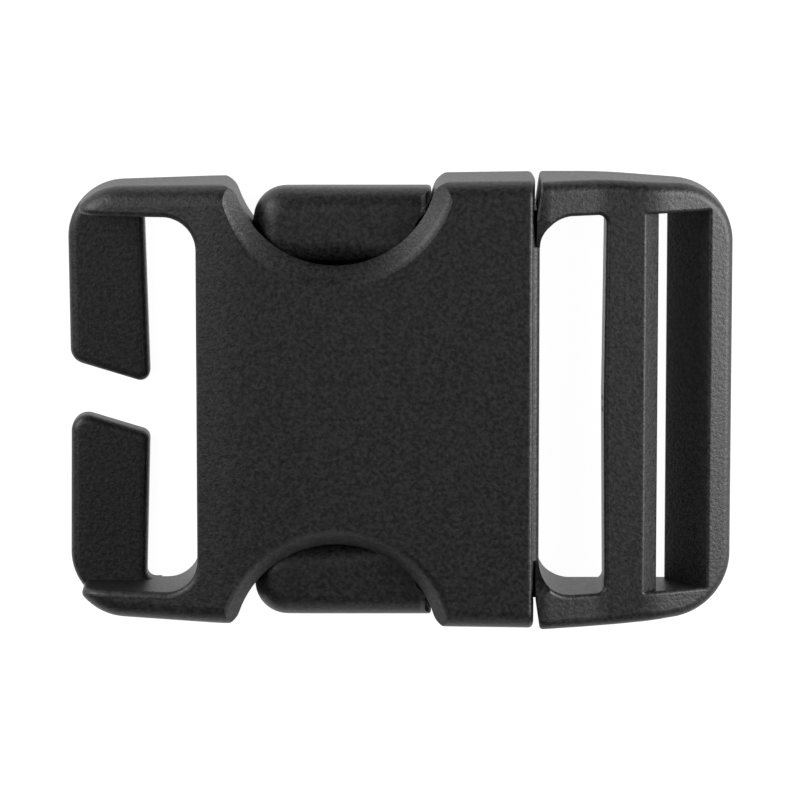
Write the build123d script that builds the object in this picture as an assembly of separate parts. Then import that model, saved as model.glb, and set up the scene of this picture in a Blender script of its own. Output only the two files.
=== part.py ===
"""A closed side-release strap buckle for 38 mm webbing, in millimetres.

The socket is the female half, with a split webbing bar. The plug is the male half: its frame ends in
a two-slot ladder-lock, and its two latch arms bend at their roots.

Frame: +X runs along the buckle from the split bar to the end bar, +Y across it, and +Z out of its
front face. The origin is the middle of the flat back.
"""

import os
from math import radians, tan

from build123d import *

# Overall size
END_X = 34.7
HEIGHT = 10.4
SOCKET_FRONT_ROUND = 2.0
PLUG_FRONT_ROUND = 1.2
BACK_ROUND = 1.2
MOUTH_ROUND = 0.5
SHOULDER_ROUND = 0.35
SLOT_ROUND = 0.6
BAR_ROUND = 0.45
SPLIT_BAR_ROUND = 0.9
BASE_ROUND = 1.0
CHANNEL_ROUND = 0.4
GENTLE_RADIUS = 60.0

# Socket, in plan
MOUTH_X = 14.0
MOUTH_CROWN = 0.25
MOUTH_CROWN_RADIUS = 50.0
MOUTH_HALF_WIDTH = 23.6
NECK_X = -19.5
NECK_HALF_WIDTH = 23.12
LOOP_HALF_WIDTH = 22.6
LOOP_X = -34.76
LOOP_CORNER_RADIUS = 6.0
BAR_LEAN = 0.25
BAR_LEAN_RADIUS = 400.0
LOOP_DROP_X = -17.5
LOOP_DROP_RADIUS = 30.0
LOOP_SLOPE = 0.17

# Thumb notches
NOTCH_X = -6.7
NOTCH_Y = 25.4
NOTCH_RADIUS = 10.7
NOTCH_CORNER_RADIUS = 1.8
BEVEL_HEIGHT = 1.9
BEVEL_WIDTH = 1.7
BEVEL_ROUND = 1.6

# Socket cavity
PLATE = 2.0
CAVITY_HALF_WIDTH = 20.7
PAD_BAY_X = -15.3
CAVITY_END_X = -17.4
CAVITY_END_HALF_WIDTH = 18.9
CAVITY_CORNER_RADIUS = 1.0
LEAD_IN = 0.5

# Webbing slot and split bar of the socket
WEB_SLOT_X = -21.14
WEB_SLOT_HALF_LENGTH = 19.76
WEB_SLOT_END_WIDTH = 5.6
WEB_SLOT_MIDDLE_WIDTH = 5.05
SLOT_CORNER_RADIUS = 3.4
BAR_CORNER_RADIUS = 0.9
BAR_THICKNESS = 2.5
SPLIT_X = -30.5
SPLIT_Y = -0.17
SPLIT_GAP = 5.25
SPLIT_ANGLE = 17.0
SPLIT_OUTER_RADIUS = 1.7
SPLIT_INNER_RADIUS = 1.0

# Plug frame
PLUG_GAP = 0.15
SHOULDER_DRAFT = 0.45
TAPER_X = 21.0
PLUG_END_HALF_WIDTH = 22.55
PLUG_CORNER_RADIUS = 6.5
SHOULDER_FLAT = 1.0
SHOULDER_RADIUS = 3.0
KNEE_X = 21.0
KNEE_Z = 8.6
BROW_X = 26.5
BROW_Z = 7.95
LIP_Z = 4.2
SIDE_RADIUS = 9.0
FRAME_SLOT_HALF_LENGTH = 19.95
BASE_X = 11.1
BASE_END_X = 14.5
BASE_HALF_WIDTH = 20.45
INNER_GAP = 0.15
STEP_FOOT_Y = 17.0
STEP_TOP_Y = 19.6
STEP_RADIUS = 1.6

# Ladder-lock
CENTRE_BAR_X = 21.35
CENTRE_BAR_BOW = 0.2
CENTRE_BAR_BACK = 0.8
CENTRE_BAR_FOOT_X = 23.6
CENTRE_RIDGE_X = 25.4
CENTRE_RIDGE_Z = 8.1
CENTRE_NOSE_X = 26.95
CENTRE_NOSE_Z = 6.0
CENTRE_FOOT_RADIUS = 0.8
NOSE_RADIUS = 0.4
END_FOOT_Z = 0.9
END_FOOT_X = 27.9
END_HEEL = 0.3
END_HEEL_RADIUS = 0.3
END_RIDGE_X = 32.3
END_RIDGE_Z = 5.3

# Latch arms
ROOT_X = 11.2
ROOT_Y = 17.2
KNUCKLE_RADIUS = 1.6
KNUCKLE_GAP = 0.05
BEAM_HALF_WIDTH = 1.45
PAD_HALF_WIDTH = 22.6
PAD_INNER_Y = 15.0
PAD_TIP_X = -15.2
PAD_TIP_RADIUS = 3.4
PAD_INNER_RADIUS = 2.0
PAD_ROUND = 1.2
ARM_BEND_X = 0.0
ARM_BEND_Y = 14.6
ARM_BEND_RADIUS = 20.0
HOOK_X = 3.2
HOOK_ANGLE = 25.0
HOOK_TIP_RADIUS = 0.4
HOOK_FOOT_Y = 17.8
HOOK_FOOT_RADIUS = 0.8

# Guide tongue and the ribs that it runs between
TONGUE_HALF_WIDTH = 3.5
TONGUE_TIP_X = -12.0
TONGUE_TIP_RADIUS = 2.0
RIB_GAP = 0.3
RIB_WIDTH = 1.2
RIB_HEIGHT = 1.6
RIB_MOUTH_X = 6.0

# Heights of everything that runs inside the socket
INNER_LOW = PLATE + INNER_GAP
INNER_HIGH = HEIGHT - PLATE - INNER_GAP
FAR = 60.0
PAST = 1.0
SMALL = 0.05
SHORT = 1.6
STEEP = 3.4


def closed_face(points, radii):
    """A face inside a closed polygon, with each corner rounded by its own radius."""
    return make_face(FilletPolyline(*points, radius=radii, close=True))


def mirrored_face(points, radii):
    """A face symmetrical about the X axis, from its +Y half's corners in order."""
    half = list(zip(points, radii))
    other = [((x, -y), radius) for (x, y), radius in reversed(half) if y]
    corners, rounds = zip(*(half + other))
    return closed_face(corners, rounds)


def slab(face, low, high):
    """A plan face made solid between two heights."""
    return extrude(Pos(0, 0, low) * face, amount=high - low, dir=(0, 0, 1))


def across(points, radii, half_width):
    """A side view, given as X and Z, made solid over a width centred on Y = 0."""
    return extrude(Plane.XZ * closed_face(points, radii), amount=half_width, both=True)


def block(low, high):
    """A block from its lowest corner to its highest."""
    size = [b - a for a, b in zip(low, high)]
    return Pos(*low) * Box(*size, align=(Align.MIN, Align.MIN, Align.MIN))


def both_sides(piece):
    """A piece and its mirror image across the buckle's long axis."""
    return piece + mirror(piece, about=Plane.XZ)


def front_and_back(piece):
    """A piece and its mirror image through the middle of the buckle's height."""
    return piece + mirror(piece, about=Plane.XY.offset(HEIGHT / 2))


def round_rims(prism, end, front_radius):
    """Round the rims that run smoothly from one end of a slab: its lowest X (0) or highest (-1)."""
    for rim, radius in ((0, BACK_ROUND), (-1, front_radius)):
        end_face = prism.faces().sort_by(Axis.X)[end]
        prism = fillet(end_face.edges().sort_by(Axis.Z)[rim], radius)
    return prism


def upright_near(solid, x, y, reach=0.8):
    """A slab's upright edges that stand close to a point in plan."""
    upright = solid.edges().filter_by(Axis.Z)
    return [e for e in upright if (e.center() - Vector(x, y, e.center().Z)).length < reach]


def rims(solid, low, high, reach):
    """A solid's edges with their middles in a height range and within a reach of Y = 0."""
    return [
        edge
        for edge in solid.edges()
        if low < edge.center().Z < high and abs(edge.center().Y) < reach + SMALL
    ]


# --- Socket ---------------------------------------------------------------------------------------


def socket_outline():
    """The socket's outer outline, with no notches. Its end leans in towards the middle."""
    return mirrored_face(
        [
            (MOUTH_X + PAST, MOUTH_HALF_WIDTH),
            (NECK_X, NECK_HALF_WIDTH),
            (LOOP_X, LOOP_HALF_WIDTH),
            (LOOP_X + BAR_LEAN, 0),
        ],
        [0, GENTLE_RADIUS, LOOP_CORNER_RADIUS, BAR_LEAN_RADIUS],
    )


def socket_blank():
    """The socket's outer form: its outline, dropping in front towards the split bar."""
    far_x = LOOP_X - PAST
    rim_x = MOUTH_X - MOUTH_CROWN
    side = across(
        [
            (rim_x, 0),
            (MOUTH_X + MOUTH_CROWN, HEIGHT / 2),
            (rim_x, HEIGHT),
            (LOOP_DROP_X, HEIGHT),
            (far_x, HEIGHT - LOOP_SLOPE * (LOOP_DROP_X - far_x)),
            (far_x, 0),
        ],
        [0, MOUTH_CROWN_RADIUS, 0, LOOP_DROP_RADIUS, 0, 0],
        FAR,
    )
    blank = round_rims(slab(socket_outline(), 0, HEIGHT) & side, 0, SOCKET_FRONT_ROUND)
    return fillet(blank.faces().sort_by(Axis.X)[-1].edges(), MOUTH_ROUND)


def web_slot():
    """The socket's webbing slot in plan: its bar leans in a little at the middle."""
    return mirrored_face(
        [
            (WEB_SLOT_X, WEB_SLOT_HALF_LENGTH),
            (WEB_SLOT_X - WEB_SLOT_END_WIDTH, WEB_SLOT_HALF_LENGTH),
            (WEB_SLOT_X - WEB_SLOT_MIDDLE_WIDTH, 0),
        ],
        [SLOT_CORNER_RADIUS, BAR_CORNER_RADIUS, 0],
    )


def split_edge(x, side):
    """Where the slanted split has one of its two edges, at a given X."""
    middle = SPLIT_Y - (x - SPLIT_X) * tan(radians(SPLIT_ANGLE))
    return (x, middle + side * SPLIT_GAP / 2)


def split():
    """The slanted gap that splits the webbing bar, in plan."""
    outside = LOOP_X - PAST
    inside = WEB_SLOT_X - PAST
    corners = [split_edge(outside, 1), split_edge(inside, 1)]
    corners += [split_edge(inside, -1), split_edge(outside, -1)]
    return closed_face(corners, [0] * 4)


def split_bar():
    """Both halves of the webbing bar, reaching a little way into the rails."""
    inner_x = WEB_SLOT_X - WEB_SLOT_MIDDLE_WIDTH
    reach = Rectangle(FAR, 2 * (WEB_SLOT_HALF_LENGTH + PAST), align=(Align.MAX, Align.CENTER))
    plan = socket_outline() - web_slot() - split()
    plan &= Pos(inner_x + PAST, 0) * reach
    bars = slab(plan, -PAST, BAR_THICKNESS)
    for x, radius in ((LOOP_X + BAR_LEAN, SPLIT_OUTER_RADIUS), (inner_x, SPLIT_INNER_RADIUS)):
        ends = [e for side in (1, -1) for e in upright_near(bars, *split_edge(x, side))]
        bars = fillet(ends, radius)
    bars = socket_blank() & bars
    reach_y = WEB_SLOT_HALF_LENGTH + PAST / 2
    front_rims = rims(bars, BAR_THICKNESS - PAST, BAR_THICKNESS + PAST, reach_y)
    return fillet(front_rims, SPLIT_BAR_ROUND)


def open_loop():
    """The socket's form with its thumb notches, and with its loop open where the split bar goes."""
    gap = mirrored_face(
        [(WEB_SLOT_X, WEB_SLOT_HALF_LENGTH), (LOOP_X - PAST, WEB_SLOT_HALF_LENGTH)],
        [SLOT_CORNER_RADIUS, 0],
    )
    plan = socket_outline() - gap
    for side in (1, -1):
        plan -= Pos(NOTCH_X, side * NOTCH_Y) * Circle(NOTCH_RADIUS)
    prism = slab(plan, -PAST, HEIGHT + PAST)
    corners = []
    for side in (1, -1):
        corners += upright_near(prism, NOTCH_X + NOTCH_RADIUS, side * MOUTH_HALF_WIDTH)
        corners += upright_near(prism, NOTCH_X - NOTCH_RADIUS, side * NECK_HALF_WIDTH)
    body = socket_blank() & fillet(corners, NOTCH_CORNER_RADIUS)
    inside = rims(body, HEIGHT / 2 + PAST, HEIGHT, WEB_SLOT_HALF_LENGTH)
    return fillet([edge for edge in inside if edge.center().X < WEB_SLOT_X + SMALL], SLOT_ROUND)


def notch_bevel():
    """What a round thumb notch takes off: a soft bevel on the rims of both plates."""
    inner = NOTCH_RADIUS - SMALL
    outer = NOTCH_RADIUS + BEVEL_WIDTH
    above = HEIGHT + SMALL
    rim = outer + PAST
    half = closed_face(
        [
            (0, HEIGHT / 2),
            (inner, HEIGHT / 2),
            (inner, HEIGHT - BEVEL_HEIGHT),
            (outer, above),
            (rim, above),
            (rim, above + PAST),
            (0, above + PAST),
        ],
        [0, 0, 0, BEVEL_ROUND, 0, 0, 0],
    )
    ring = revolve(Plane.XZ * half, axis=Axis.Z)
    return both_sides(front_and_back(Pos(NOTCH_X, NOTCH_Y, 0) * ring))


def cavity():
    """The room inside the socket for the plug's base bar, arms and tongue."""
    plan = mirrored_face(
        [
            (MOUTH_X + PAST, CAVITY_HALF_WIDTH),
            (PAD_BAY_X, CAVITY_HALF_WIDTH),
            (PAD_BAY_X, CAVITY_END_HALF_WIDTH),
            (CAVITY_END_X, CAVITY_END_HALF_WIDTH),
        ],
        [0, 0, 0, CAVITY_CORNER_RADIUS],
    )
    return slab(plan, PLATE, HEIGHT - PLATE)


def lead_in():
    """The flare round the inside of the mouth."""
    mouth = Plane.YZ.offset(MOUTH_X - LEAD_IN)
    wide = Plane.YZ.offset(MOUTH_X + LEAD_IN)
    height = HEIGHT - 2 * PLATE
    throat = mouth * Pos(0, HEIGHT / 2) * Rectangle(2 * CAVITY_HALF_WIDTH, height)
    flare = 2 * LEAD_IN
    lips = Rectangle(2 * CAVITY_HALF_WIDTH + 2 * flare, height + 2 * flare)
    return loft([throat, wide * Pos(0, HEIGHT / 2) * lips])


def guide_ribs():
    """Ribs inside both plates, either side of the plug's tongue."""
    inner_y = TONGUE_HALF_WIDTH + RIB_GAP
    rib = block(
        (CAVITY_END_X - PAST, inner_y, PLATE - PAST / 2),
        (RIB_MOUTH_X, inner_y + RIB_WIDTH, PLATE + RIB_HEIGHT),
    )
    return both_sides(front_and_back(rib))


def socket_body():
    """The female half, one moulding."""
    body = open_loop() + split_bar()
    body -= notch_bevel()
    body -= cavity()
    body -= lead_in()
    return body + guide_ribs()


# --- Plug frame -----------------------------------------------------------------------------------


def plug_blank():
    """The outer form of the plug's frame: its outline, dropping in front from mouth to end bar."""
    shoulder_x = MOUTH_X + PLUG_GAP
    outline = mirrored_face(
        [
            (shoulder_x, BASE_HALF_WIDTH),
            (shoulder_x + SHOULDER_DRAFT, MOUTH_HALF_WIDTH),
            (TAPER_X, MOUTH_HALF_WIDTH),
            (END_X, PLUG_END_HALF_WIDTH),
        ],
        [0, 0, GENTLE_RADIUS, PLUG_CORNER_RADIUS],
    )
    side = across(
        [
            (MOUTH_X - PAST, 0),
            (MOUTH_X - PAST, HEIGHT),
            (shoulder_x + SHOULDER_FLAT, HEIGHT),
            (KNEE_X, KNEE_Z),
            (BROW_X, BROW_Z),
            (END_X + PAST, LIP_Z - PAST * (BROW_Z - LIP_Z) / (END_X - BROW_X)),
            (END_X + PAST, 0),
        ],
        [0, 0, SHOULDER_RADIUS, SIDE_RADIUS, SIDE_RADIUS, 0, 0],
        FAR,
    )
    blank = round_rims(slab(outline, 0, HEIGHT) & side, -1, PLUG_FRONT_ROUND)
    base_face, *shoulders = blank.faces().sort_by(Axis.X)[:3]
    return fillet([edge for face in shoulders for edge in face.edges()], SHOULDER_ROUND)


def base_step():
    """What the frame loses in front of its base bar, ramped up at both sides to the rails."""
    above = HEIGHT + SMALL
    half = [
        (STEP_FOOT_Y, INNER_HIGH),
        (STEP_TOP_Y, above),
        (STEP_TOP_Y + PAST, above),
        (STEP_TOP_Y + PAST, above + PAST),
    ]
    radii = [STEP_RADIUS, STEP_RADIUS, 0, 0]
    other = [(-y, z) for y, z in reversed(half)]
    profile = closed_face(half + other, radii + radii[::-1])
    length = BASE_END_X + SLOT_CORNER_RADIUS - MOUTH_X + PAST
    return extrude(Plane.YZ.offset(MOUTH_X - PAST) * profile, amount=length)


def strap_slot():
    """The slot beside the mouth, in plan."""
    return mirrored_face(
        [
            (BASE_END_X, FRAME_SLOT_HALF_LENGTH),
            (CENTRE_BAR_X, FRAME_SLOT_HALF_LENGTH),
            (CENTRE_BAR_X - CENTRE_BAR_BOW, 0),
        ],
        [SLOT_CORNER_RADIUS, BAR_CORNER_RADIUS, 0],
    )


def lock_channel():
    """The slanted channel between the centre bar and the end bar."""
    return across(
        [
            (CENTRE_RIDGE_X, HEIGHT + PAST),
            (CENTRE_RIDGE_X, CENTRE_RIDGE_Z),
            (CENTRE_NOSE_X, CENTRE_NOSE_Z),
            (CENTRE_BAR_FOOT_X, CENTRE_BAR_BACK),
            (CENTRE_BAR_FOOT_X, -PAST),
            (END_FOOT_X + END_HEEL, -PAST),
            (END_FOOT_X + END_HEEL, END_FOOT_Z / 3),
            (END_FOOT_X, END_FOOT_Z),
            (END_RIDGE_X, END_RIDGE_Z),
            (END_RIDGE_X, HEIGHT + PAST),
        ],
        [0, NOSE_RADIUS, NOSE_RADIUS, CENTRE_FOOT_RADIUS, 0]
        + [0, END_HEEL_RADIUS, END_HEEL_RADIUS, 0, 0],
        FRAME_SLOT_HALF_LENGTH,
    )


def strap_slot_rims(frame):
    """The edges round the front of the slot beside the mouth."""
    inside = rims(frame, INNER_HIGH, HEIGHT, FRAME_SLOT_HALF_LENGTH)
    across_slot = [e for e in inside if BASE_END_X - SMALL < e.center().X < CENTRE_BAR_X + SMALL]
    return [edge for edge in across_slot if edge.bounding_box().size.Z < STEEP]


def base_bar():
    """The bar inside the mouth, which carries the arms and the tongue."""
    bar = block(
        (BASE_X, -BASE_HALF_WIDTH, INNER_LOW),
        (BASE_END_X, BASE_HALF_WIDTH, INNER_HIGH),
    )
    slot_side = bar.edges().filter_by(Axis.Y).group_by(Axis.X)[-1]
    return fillet(slot_side, BASE_ROUND)


def channel_rims(frame):
    """The edges round the front of the lock channel: two rails, the centre bar and the end bar."""
    near = rims(frame, END_FOOT_Z + PAST, HEIGHT, FRAME_SLOT_HALF_LENGTH)
    near = [e for e in near if CENTRE_RIDGE_X - SMALL < e.center().X < END_RIDGE_X + SMALL]
    bars = [e for e in near if e.length > FRAME_SLOT_HALF_LENGTH]
    high = [e for e in near if e.center().Z > CENTRE_NOSE_Z]
    rails = [e for e in high if e.bounding_box().size.X > SHORT]
    return bars + rails


def plug_frame():
    """The male half without its latch arms."""
    under_centre_bar = block(
        (CENTRE_BAR_X - PAST, -FRAME_SLOT_HALF_LENGTH, -PAST),
        (CENTRE_BAR_FOOT_X + PAST / 2, FRAME_SLOT_HALF_LENGTH, CENTRE_BAR_BACK),
    )
    tongue = closed_face(
        [
            (BASE_X + PAST, TONGUE_HALF_WIDTH),
            (TONGUE_TIP_X, TONGUE_HALF_WIDTH),
            (TONGUE_TIP_X, -TONGUE_HALF_WIDTH),
            (BASE_X + PAST, -TONGUE_HALF_WIDTH),
        ],
        [0, TONGUE_TIP_RADIUS, TONGUE_TIP_RADIUS, 0],
    )
    frame = plug_blank() - slab(strap_slot(), -PAST, HEIGHT + PAST)
    frame -= lock_channel()
    frame -= under_centre_bar
    frame = fillet(strap_slot_rims(frame), BAR_ROUND)
    frame = fillet(channel_rims(frame), CHANNEL_ROUND)
    frame -= front_and_back(base_step())
    straight = FRAME_SLOT_HALF_LENGTH - SLOT_CORNER_RADIUS
    frame -= block((MOUTH_X, -straight, -PAST), (BASE_END_X + SMALL, straight, HEIGHT + PAST))
    frame += base_bar()
    frame += slab(tongue, INNER_LOW, INNER_HIGH)
    seat = Pos(ROOT_X, ROOT_Y) * Circle(KNUCKLE_RADIUS + KNUCKLE_GAP)
    return frame - both_sides(slab(seat, 0, HEIGHT))


# --- Latch arms -----------------------------------------------------------------------------------


def latch_arm():
    """The arm on the +Y side: a beam from its root knuckle to a thumb pad with a hooked end."""
    hook_depth = PAD_HALF_WIDTH - HOOK_FOOT_Y
    plan = closed_face(
        [
            (ROOT_X, ROOT_Y + BEAM_HALF_WIDTH),
            (HOOK_X - hook_depth * tan(radians(HOOK_ANGLE)), HOOK_FOOT_Y),
            (HOOK_X, PAD_HALF_WIDTH),
            (PAD_TIP_X, PAD_HALF_WIDTH),
            (PAD_TIP_X, PAD_INNER_Y),
            (ARM_BEND_X, ARM_BEND_Y),
            (ROOT_X, ROOT_Y - BEAM_HALF_WIDTH),
        ],
        [0, HOOK_FOOT_RADIUS, HOOK_TIP_RADIUS]
        + [PAD_TIP_RADIUS, PAD_INNER_RADIUS, ARM_BEND_RADIUS, 0],
    )
    arm = slab(plan, INNER_LOW, INNER_HIGH)
    upright = arm.edges().filter_by(Axis.Z)
    flat = [e for e in arm.edges() if e not in upright and e.center().X < ROOT_X - KNUCKLE_RADIUS]
    arm = fillet(flat, PAD_ROUND)
    return arm + slab(Pos(ROOT_X, ROOT_Y) * Circle(KNUCKLE_RADIUS), INNER_LOW, INNER_HIGH)


os.makedirs("parts", exist_ok=True)
arm = latch_arm()
nodes = {
    "socket_body": socket_body(),
    "plug_frame": plug_frame(),
    "latch_arm_right": arm,
    "latch_arm_left": mirror(arm, about=Plane.XZ),
}
for name, shape in nodes.items():
    shape.label = name
    export_step(shape, f"parts/{name}.step")
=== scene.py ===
"""A closed side-release strap buckle in matte black acetal, on a white sweep between softboxes.

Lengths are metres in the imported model's frame: +X towards the end bar, +Z out of the front.
"""

from math import ceil, cos, pi, radians, sin, sqrt, tan

import bmesh
import bpy
from mathutils import Matrix, Vector


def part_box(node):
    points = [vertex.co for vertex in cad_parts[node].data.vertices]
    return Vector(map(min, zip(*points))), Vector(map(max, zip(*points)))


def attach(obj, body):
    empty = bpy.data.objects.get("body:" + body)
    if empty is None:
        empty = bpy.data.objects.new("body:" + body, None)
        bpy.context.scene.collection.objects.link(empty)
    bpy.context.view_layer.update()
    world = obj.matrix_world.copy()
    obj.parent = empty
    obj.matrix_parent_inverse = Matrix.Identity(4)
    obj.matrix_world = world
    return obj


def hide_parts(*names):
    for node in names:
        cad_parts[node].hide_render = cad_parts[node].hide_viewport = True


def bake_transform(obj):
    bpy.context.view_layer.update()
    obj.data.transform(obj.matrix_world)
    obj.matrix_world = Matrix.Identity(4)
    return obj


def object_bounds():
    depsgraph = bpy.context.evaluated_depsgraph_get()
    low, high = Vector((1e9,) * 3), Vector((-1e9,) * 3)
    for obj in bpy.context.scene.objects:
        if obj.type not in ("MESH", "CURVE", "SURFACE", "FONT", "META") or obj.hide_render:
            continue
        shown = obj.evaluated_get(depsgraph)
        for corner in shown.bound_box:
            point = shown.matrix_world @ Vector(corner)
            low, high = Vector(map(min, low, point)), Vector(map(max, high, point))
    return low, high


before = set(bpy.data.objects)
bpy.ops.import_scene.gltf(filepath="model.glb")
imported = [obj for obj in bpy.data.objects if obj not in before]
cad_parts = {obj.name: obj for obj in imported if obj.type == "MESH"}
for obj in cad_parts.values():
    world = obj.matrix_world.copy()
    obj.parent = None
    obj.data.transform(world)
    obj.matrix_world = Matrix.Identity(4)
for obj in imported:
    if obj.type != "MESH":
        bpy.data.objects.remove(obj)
cad_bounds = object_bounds()

MM = 0.001

# --- Camera and light -----------------------------------------------------------------------------

CAMERA_TILT = radians(10)
CAMERA_DISTANCE = 0.6
CAMERA_CLIP = 0.01
FRAME_WIDTH = 83.6 * MM
SENSOR = 36.0

FLOOR_SIZE = 12.0
FLOOR_GLOW = 0.97
FLOOR_GREY = (0.2, 0.2, 0.2, 1)
FLOOR_ROUGHNESS = 0.9
WHITE = (1, 1, 1, 1)
FLOOR_GAP = 0.02 * MM
SKY_GLOW = 0.01

# Azimuth from +X and angle from the zenith in degrees, distance, width and height in metres, watts
SOFTBOXES = {
    "softbox_right": (7, 68, 0.30, 0.16, 0.16, 1.16),
    "softbox_left": (150, 68, 0.30, 0.16, 0.16, 0.62),
    "softbox_overhead_right": (0, 32, 0.34, 0.15, 0.15, 0.13),
    "softbox_overhead_left": (166, 32, 0.34, 0.15, 0.15, 0.23),
    "softbox_front": (270, 68, 0.34, 0.16, 0.16, 0.10),
}


def middle_of(bounds):
    """The middle of a box given by its two corners."""
    low, high = (Vector(corner) for corner in bounds)
    return (low + high) / 2


def look_at(thing, target, up):
    """Turn a camera or light so that its -Z points at a target and its +Y leans towards up."""
    back = (thing.location - target).normalized()
    right = up.cross(back).normalized()
    turn = Matrix((right, back.cross(right), back)).transposed()
    thing.rotation_euler = turn.to_euler()


def add_camera(target):
    data = bpy.data.cameras.new("camera")
    data.sensor_width = SENSOR
    data.lens = SENSOR * CAMERA_DISTANCE / FRAME_WIDTH
    data.clip_start = CAMERA_CLIP
    camera = bpy.data.objects.new("camera", data)
    bpy.context.scene.collection.objects.link(camera)
    away = Vector((0, sin(CAMERA_TILT), cos(CAMERA_TILT)))
    camera.location = target + away * CAMERA_DISTANCE
    look_at(camera, target, Vector((0, 1, 0)))
    bpy.context.scene.camera = camera


def add_softbox(name, azimuth, zenith, distance, width, height, power):
    data = bpy.data.lights.new(name, "AREA")
    data.shape = "RECTANGLE"
    data.size = width
    data.size_y = height
    data.energy = power
    light = bpy.data.objects.new(name, data)
    bpy.context.scene.collection.objects.link(light)
    turn, lean = radians(azimuth), radians(zenith)
    light.location = Vector((cos(turn) * sin(lean), sin(turn) * sin(lean), cos(lean))) * distance
    look_at(light, Vector((0, 0, 0)), Vector((0, 0, 1)))
    light.visible_camera = False


def add_floor(height):
    """A pale sweep, lit evenly from below as on a light table."""
    mesh = bpy.data.meshes.new("floor")
    half = FLOOR_SIZE / 2
    plan = [(-half, -half), (half, -half), (half, half), (-half, half)]
    mesh.from_pydata([(x, y, height) for x, y in plan], [], [(0, 1, 2, 3)])
    floor = bpy.data.objects.new("floor", mesh)
    bpy.context.scene.collection.objects.link(floor)
    material = bpy.data.materials.new("pale_floor")
    material.use_nodes = True
    shader = material.node_tree.nodes["Principled BSDF"]
    shader.inputs["Base Color"].default_value = FLOOR_GREY
    shader.inputs["Roughness"].default_value = FLOOR_ROUGHNESS
    shader.inputs["Emission Color"].default_value = WHITE
    shader.inputs["Emission Strength"].default_value = FLOOR_GLOW
    mesh.materials.append(material)


def add_world():
    world = bpy.data.worlds.new("studio")
    world.use_nodes = True
    background = world.node_tree.nodes["Background"]
    background.inputs["Color"].default_value = WHITE
    background.inputs["Strength"].default_value = SKY_GLOW
    bpy.context.scene.world = world


# --- Material -------------------------------------------------------------------------------------

GRAIN_SIZE = 0.34 * MM
GRAIN_DEPTH = 0.048 * MM
GRAIN_OCTAVES = 3
GRAIN_STRENGTH = 1.0
MOTTLE_SIZE = 0.42 * MM
MOTTLE_OCTAVES = 4
OCTAVE_STRENGTH = 0.6
MOTTLE_DARK_AT = 0.38
MOTTLE_LIGHT_AT = 0.66
SMOOTHEST = 0.36
ROUGHEST = 0.54
REFRACTION = 1.48
DARK = (0.001, 0.001, 0.001, 1)
LIGHT = (0.020, 0.020, 0.0205, 1)


def black_acetal():
    """Black moulded acetal with the fine matte grain of a spark-eroded mould."""
    material = bpy.data.materials.new("black_acetal")
    material.use_nodes = True
    nodes, links = material.node_tree.nodes, material.node_tree.links
    shader = nodes["Principled BSDF"]
    shader.inputs["IOR"].default_value = REFRACTION

    coordinates = nodes.new("ShaderNodeTexCoord")

    def noise(size, octaves):
        node = nodes.new("ShaderNodeTexNoise")
        node.inputs["Scale"].default_value = 1 / size
        node.inputs["Detail"].default_value = octaves
        node.inputs["Roughness"].default_value = OCTAVE_STRENGTH
        links.new(coordinates.outputs["Object"], node.inputs["Vector"])
        return node

    grain = noise(GRAIN_SIZE, GRAIN_OCTAVES)
    mottle = noise(MOTTLE_SIZE, MOTTLE_OCTAVES)

    colour = nodes.new("ShaderNodeValToRGB")
    dark, light = colour.color_ramp.elements
    dark.position = MOTTLE_DARK_AT
    dark.color = DARK
    light.position = MOTTLE_LIGHT_AT
    light.color = LIGHT
    links.new(mottle.outputs["Fac"], colour.inputs["Fac"])
    links.new(colour.outputs["Color"], shader.inputs["Base Color"])

    roughness = nodes.new("ShaderNodeMapRange")
    roughness.inputs["To Min"].default_value = SMOOTHEST
    roughness.inputs["To Max"].default_value = ROUGHEST
    links.new(grain.outputs["Fac"], roughness.inputs["Value"])
    links.new(roughness.outputs["Result"], shader.inputs["Roughness"])

    bump = nodes.new("ShaderNodeBump")
    bump.inputs["Strength"].default_value = GRAIN_STRENGTH
    bump.inputs["Distance"].default_value = GRAIN_DEPTH
    links.new(grain.outputs["Fac"], bump.inputs["Height"])
    links.new(bump.outputs["Normal"], shader.inputs["Normal"])
    return material


# --- Pieces and their finish ----------------------------------------------------------------------


def place(name, solid, material):
    """A new object in the scene from a finished bmesh, shaded smooth."""
    mesh = bpy.data.meshes.new(name)
    solid.normal_update()
    solid.to_mesh(mesh)
    solid.free()
    for face in mesh.polygons:
        face.use_smooth = True
    mesh.materials.append(material)
    piece = bpy.data.objects.new(name, mesh)
    bpy.context.scene.collection.objects.link(piece)
    return piece


def finish_node(node, material):
    """Give a CAD node its material."""
    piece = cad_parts[node]
    piece.data.materials.clear()
    piece.data.materials.append(material)


# --- Latch arms -----------------------------------------------------------------------------------

# Plan of the right arm, from its root in the base bar to the pad's tip
BAR_FACE_X = 11.15 * MM
ROOT_X = 13.2 * MM
ROOT_Y = 17.2 * MM
ROOT_HALF_WIDTH = 3.0 * MM
BEAM_HALF_WIDTH = 1.45 * MM
FLARE_RADIUS = 1.3 * MM
HOOK_FOOT = (1.05 * MM, 18.2 * MM)
HOOK_FOOT_RADIUS = 0.6 * MM
HOOK_MIDDLE = (2.6 * MM, 20.3 * MM)
HOOK_MIDDLE_RADIUS = 8 * MM
HOOK_TIP_X = 3.55 * MM
HOOK_TIP_RADIUS = 0.6 * MM
PAD_TIP_RADIUS = 3.4 * MM
PAD_INNER_Y = 15.0 * MM
PAD_INNER_RADIUS = 3.0 * MM
BEND = (0.0, 14.6 * MM)
BEND_RADIUS = 20 * MM

# How far the rims are rolled over at the tip, along the pad, at the root and on the hook's face
TIP_ROUND = 2.7 * MM
PAD_ROUND = 2.4 * MM
ROOT_ROUND = 0.3 * MM
HOOK_ROUND = 0.15 * MM

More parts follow.
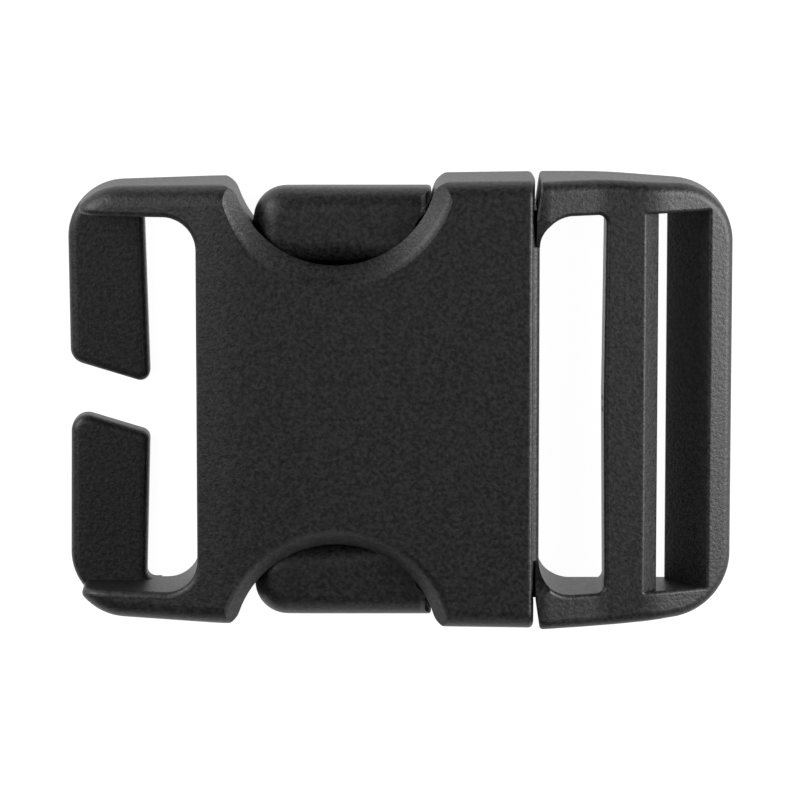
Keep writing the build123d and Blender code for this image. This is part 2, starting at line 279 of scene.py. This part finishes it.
# Where one rim eases into the next, and how squarely a side faces the root to count as the hook's
TIP_LENGTH = 6 * MM
BEAM_START_X = -7 * MM
BEAM_END_X = 10 * MM
PAD_SIDE_Y = 21 * MM
HOOK_FULL_FACING = 0.8

# The arm stands this far out of the base bar's faces, so that none lies on another
HAIR = 0.01 * MM
LONGEST_EDGE = 0.6 * MM


def rounded_corner(before, corner, after, radius, steps):
    """The points of the arc that rounds one corner of an outline."""
    if radius <= 0:
        return [corner.copy()]
    to_before = (before - corner).normalized()
    to_after = (after - corner).normalized()
    half = to_before.angle(to_after) / 2
    centre = corner + (to_before + to_after).normalized() * radius / sin(half)
    first = (corner + to_before * radius / tan(half) - centre).normalized()
    last = (corner + to_after * radius / tan(half) - centre).normalized()
    return [centre + first.slerp(last, i / steps).normalized() * radius for i in range(steps + 1)]


def rounded_outline(corners, steps=12):
    """A closed outline in plan from corners given as X, Y and the corner's radius."""
    places = [Vector((x, y, 0)) for x, y, _ in corners]
    count = len(corners)
    points = []
    for i in range(count):
        radius = corners[i][2]
        points += rounded_corner(places[i - 1], places[i], places[(i + 1) % count], radius, steps)
    return points


def divided(points, longest):
    """The same closed outline, with no edge longer than a limit."""
    result = []
    for here, there in zip(points, points[1:] + points[:1]):
        parts = max(1, ceil((there - here).length / longest))
        result += [here.lerp(there, i / parts) for i in range(parts)]
    return result


def outward(points, i):
    """The outward direction in plan at one point of an outline that runs anticlockwise."""
    along = points[(i + 1) % len(points)] - points[i - 1]
    return Vector((along.y, -along.x, 0)).normalized()


def rolled_slab(points, low, high, round_at, crown_drop, steps=10):
    """A slab from its outline in plan, with rims rolled over by a radius that varies round it.

    Its front and back also drop by an amount that depends on where a point is across the slab.
    """
    levels = [(sin(pi / 2 * j / steps), cos(pi / 2 * j / steps)) for j in range(steps + 1)]
    sides = [(low, 1, levels), (high, -1, levels[::-1])]
    solid = bmesh.new()
    rings = []
    for base, sense, order in sides:
        for out, flat in order:
            ring = []
            for i, point in enumerate(points):
                facing = outward(points, i)
                radius = round_at(point, facing)
                spot = point - facing * radius * (1 - out)
                drop = max(crown_drop(spot.y), radius * (1 - flat))
                spot.z = base + sense * drop
                ring.append(solid.verts.new(spot))
            rings.append(ring)
    count = len(points)
    for under, over in zip(rings, rings[1:]):
        for i in range(count):
            j = (i + 1) % count
            solid.faces.new((under[i], under[j], over[j], over[i]))
    solid.faces.new(rings[0][::-1])
    solid.faces.new(rings[-1])
    return solid


def eased(value, start, end):
    """How far a value is from start to end, from 0 to 1, easing in and out."""
    share = min(1, max(0, (value - start) / (end - start)))
    return share * share * (3 - 2 * share)


def arm_outline(tip_x, pad_y):
    """The right arm's outline in plan: root block, beam, hook, pad, and back along the inside."""
    outer_y = ROOT_Y + ROOT_HALF_WIDTH
    inner_y = ROOT_Y - ROOT_HALF_WIDTH
    corners = [
        (ROOT_X, inner_y, 0),
        (ROOT_X, outer_y, 0),
        (BAR_FACE_X, outer_y, 0),
        (BAR_FACE_X, ROOT_Y + BEAM_HALF_WIDTH, FLARE_RADIUS),
        (*HOOK_FOOT, HOOK_FOOT_RADIUS),
        (*HOOK_MIDDLE, HOOK_MIDDLE_RADIUS),
        (HOOK_TIP_X, pad_y, HOOK_TIP_RADIUS),
        (tip_x, pad_y, PAD_TIP_RADIUS),
        (tip_x, PAD_INNER_Y, PAD_INNER_RADIUS),
        (*BEND, BEND_RADIUS),
        (BAR_FACE_X, ROOT_Y - BEAM_HALF_WIDTH, FLARE_RADIUS),
        (BAR_FACE_X, inner_y, 0),
    ]
    return divided(rounded_outline(corners), LONGEST_EDGE)


def add_arm(node, material):
    """One latch arm, moulded onto the frame's base bar and reaching from it to the pad."""
    low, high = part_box(node)
    side = 1 if high.y > -low.y else -1
    pad_y = max(high.y, -low.y)
    tip_x = low.x

    def round_at(point, facing):
        beam = eased(point.x, HOOK_TIP_X, BEAM_END_X)
        tip = eased(point.x, tip_x + TIP_LENGTH, tip_x)
        pad = eased(point.y, HOOK_FOOT[1], PAD_SIDE_Y) * (1 - beam)
        root = eased(point.x, BEAM_START_X, BEAM_END_X) * (1 - pad)
        hook = eased(facing.x, 0, HOOK_FULL_FACING) * (1 - beam)
        along = PAD_ROUND + (TIP_ROUND - PAD_ROUND) * tip + (ROOT_ROUND - PAD_ROUND) * root
        return along + (HOOK_ROUND - along) * hook

    def crown_drop(y):
        depth = min(PAD_ROUND, max(0, y - (pad_y - PAD_ROUND)))
        return PAD_ROUND - sqrt(PAD_ROUND**2 - depth**2)

    outline = arm_outline(tip_x, pad_y)
    solid = rolled_slab(outline, low.z - HAIR, high.z + HAIR, round_at, crown_drop)
    if side < 0:
        bmesh.ops.scale(solid, vec=(1, -1, 1), verts=solid.verts)
        bmesh.ops.reverse_faces(solid, faces=solid.faces)
    piece = place(node + "_moulded", solid, material)
    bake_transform(piece)
    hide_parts(node)


# --- Gate vestiges --------------------------------------------------------------------------------

# On the centre bar's slot side: how far along the bar each is, and its half-sizes
GATE_YS = (0.25 * MM, -0.92 * MM)
GATE_X = 21.2 * MM
GATE_Z = 5.2 * MM
GATE_SIZE = (0.16 * MM, 0.38 * MM, 0.5 * MM)
GATE_SUBDIVISIONS = 3


def add_gate_vestige(name, y, material):
    """The low nub where a gate of the mould was broken off."""
    solid = bmesh.new()
    bmesh.ops.create_icosphere(solid, subdivisions=GATE_SUBDIVISIONS, radius=1)
    bmesh.ops.scale(solid, vec=GATE_SIZE, verts=solid.verts)
    bmesh.ops.translate(solid, vec=(GATE_X, y, GATE_Z), verts=solid.verts)
    nub = place(name, solid, material)
    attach(nub, "plug")


# --- Scene ----------------------------------------------------------------------------------------


acetal = black_acetal()
for node in ("socket_body", "plug_frame"):
    finish_node(node, acetal)
add_arm("latch_arm_right", acetal)
add_arm("latch_arm_left", acetal)
for number, y in enumerate(GATE_YS, start=1):
    add_gate_vestige(f"gate_vestige_{number}", y, acetal)

add_camera(middle_of(cad_bounds))
for name, placing in SOFTBOXES.items():
    add_softbox(name, *placing)
add_floor(cad_bounds[0][2] - FLOOR_GAP)
add_world()
bpy.context.scene.view_settings.view_transform = "Standard"
